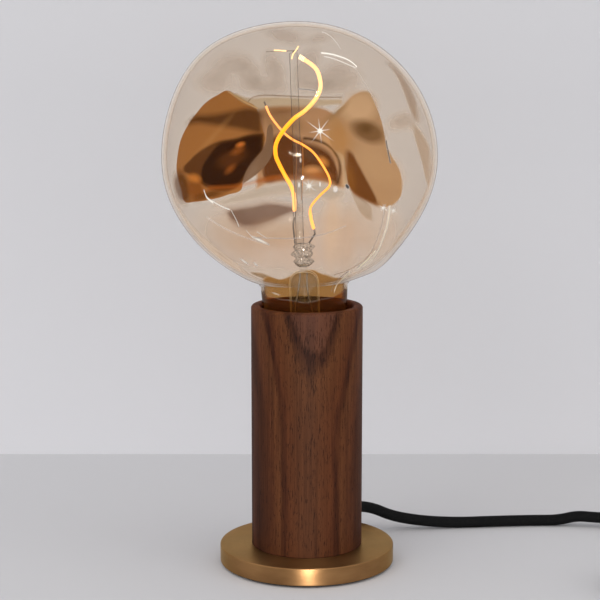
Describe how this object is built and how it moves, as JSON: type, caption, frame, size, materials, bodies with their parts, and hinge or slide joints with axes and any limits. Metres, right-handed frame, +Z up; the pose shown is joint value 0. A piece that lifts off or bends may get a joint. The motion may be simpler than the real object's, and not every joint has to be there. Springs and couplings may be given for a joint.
{
  "type": "table lamp",
  "caption": "Table lamp: a turned walnut cylinder on a thick brass disc holds a large bare bulb of irregular lustre glass with glowing strands; corded, with an inline switch.",
  "frame": {"origin": "on the table, under the axis of the base disc", "axes": "+Z up, -Y towards the viewer of the front, +X to the viewer's right; the cord leaves to the back and right"},
  "size_m": [0.4813, 0.1811, 0.3704],
  "materials": {
    "pad_felt": "dark pad, matt",
    "brass_disc": "aged, satin, warm brown",
    "steel_screws": "plain",
    "walnut": "oiled walnut, satin",
    "black_rubber": "matt",
    "cord_braid": "black braid",
    "clamp_plastic": "matt",
    "tinned_brass": "tinned",
    "wire_brown": "sleeve",
    "wire_blue": "sleeve",
    "wire_green": "sleeve, with a yellow stripe",
    "plated_tube": "zinc plated",
    "holder_black": "moulded, satin",
    "block_ceramic": "unglazed white",
    "contact_brass": "bright sheet",
    "tip_solder": "solder",
    "cap_insulator": "black vitrite",
    "cap_shell": "nickelled sheet",
    "driver_board": "board with parts",
    "lustre_glass": "blown, smoke-amber lustre, wavy",
    "stem_glass": "clear, pinched",
    "rod_glass": "clear rod",
    "dark_wire": "oxidised wire",
    "strand_front_glow": "glowing amber-yellow",
    "strand_back_glow": "glowing amber",
    "clip_metal": "dull",
    "switch_black": "moulded, satin",
    "rocker_black": "moulded, satin",
    "plug_black": "moulded, satin",
    "pin_brass": "bright bar",
    "fuse_ceramic": "tube with end caps"
  },
  "bodies": {
    "lamp": {"base_pad": "pad_felt", "base_plate": "brass_disc", "base_screws": "steel_screws", "wood_body": "walnut", "cord_boot": "black_rubber", "cord_entry": "cord_braid", "clamp_saddle": "clamp_plastic", "clamp_bridge": "clamp_plastic", "clamp_screws": "steel_screws", "earth_tag": "tinned_brass", "earth_screw": "tinned_brass", "wire_live": "wire_brown", "wire_neutral": "wire_blue", "wire_earth": "wire_green", "nipple": "plated_tube", "nipple_washers": "plated_tube", "nipple_nut": "plated_tube", "holder_cup": "holder_black", "holder_shell": "holder_black", "holder_block": "block_ceramic", "holder_liner": "contact_brass", "tip_spring": "contact_brass", "side_spring": "contact_brass", "terminal_screws": "steel_screws", "cord_lead": "cord_braid", "switch_base": "switch_black", "switch_cover": "switch_black", "switch_boots": "black_rubber", "switch_pivot": "steel_screws", "switch_contacts": "contact_brass", "switch_screws": "steel_screws", "cord_link": "cord_braid", "cord_coil": "cord_braid", "cord_tail": "cord_braid", "plug_boot": "black_rubber", "plug_base": "plug_black", "plug_cover": "plug_black", "plug_pins": "pin_brass", "plug_fuse": "fuse_ceramic", "plug_screw": "steel_screws"},
    "bulb_tip": {"bulb_tip_contact": "tip_solder"},
    "bulb": {"bulb_insulator": "cap_insulator", "bulb_cap": "cap_shell", "bulb_driver": "driver_board", "bulb_glass": "lustre_glass", "bulb_stem": "stem_glass", "support_rod": "rod_glass", "hook_wire": "dark_wire", "lead_wires": "dark_wire", "filament_front": "strand_front_glow", "filament_back": "strand_back_glow", "filament_clips": "clip_metal"},
    "rocker": {"switch_rocker": "rocker_black"}
  },
  "joints": [
    {"name": "bulb_lift", "type": "slide", "parent": "lamp", "child": "bulb_tip", "axis": [0, 0, 1], "range_m": [0, 0.0182]},
    {"name": "bulb_turn", "type": "hinge", "parent": "bulb_tip", "child": "bulb", "pos_m": [0, 0, 0.14], "axis": [0, 0, 1], "range_deg": [0, 1800]},
    {"name": "rocker_tilt", "type": "hinge", "parent": "lamp", "child": "rocker", "pos_m": [0.29, 0.075, 0.0145], "axis": [0, 1, 0], "range_deg": [-18, 0]}
  ],
  "couplings": [
    {"joint": "bulb_lift", "follows": "bulb_turn", "m_per_rad": 0.00057757}
  ]
}
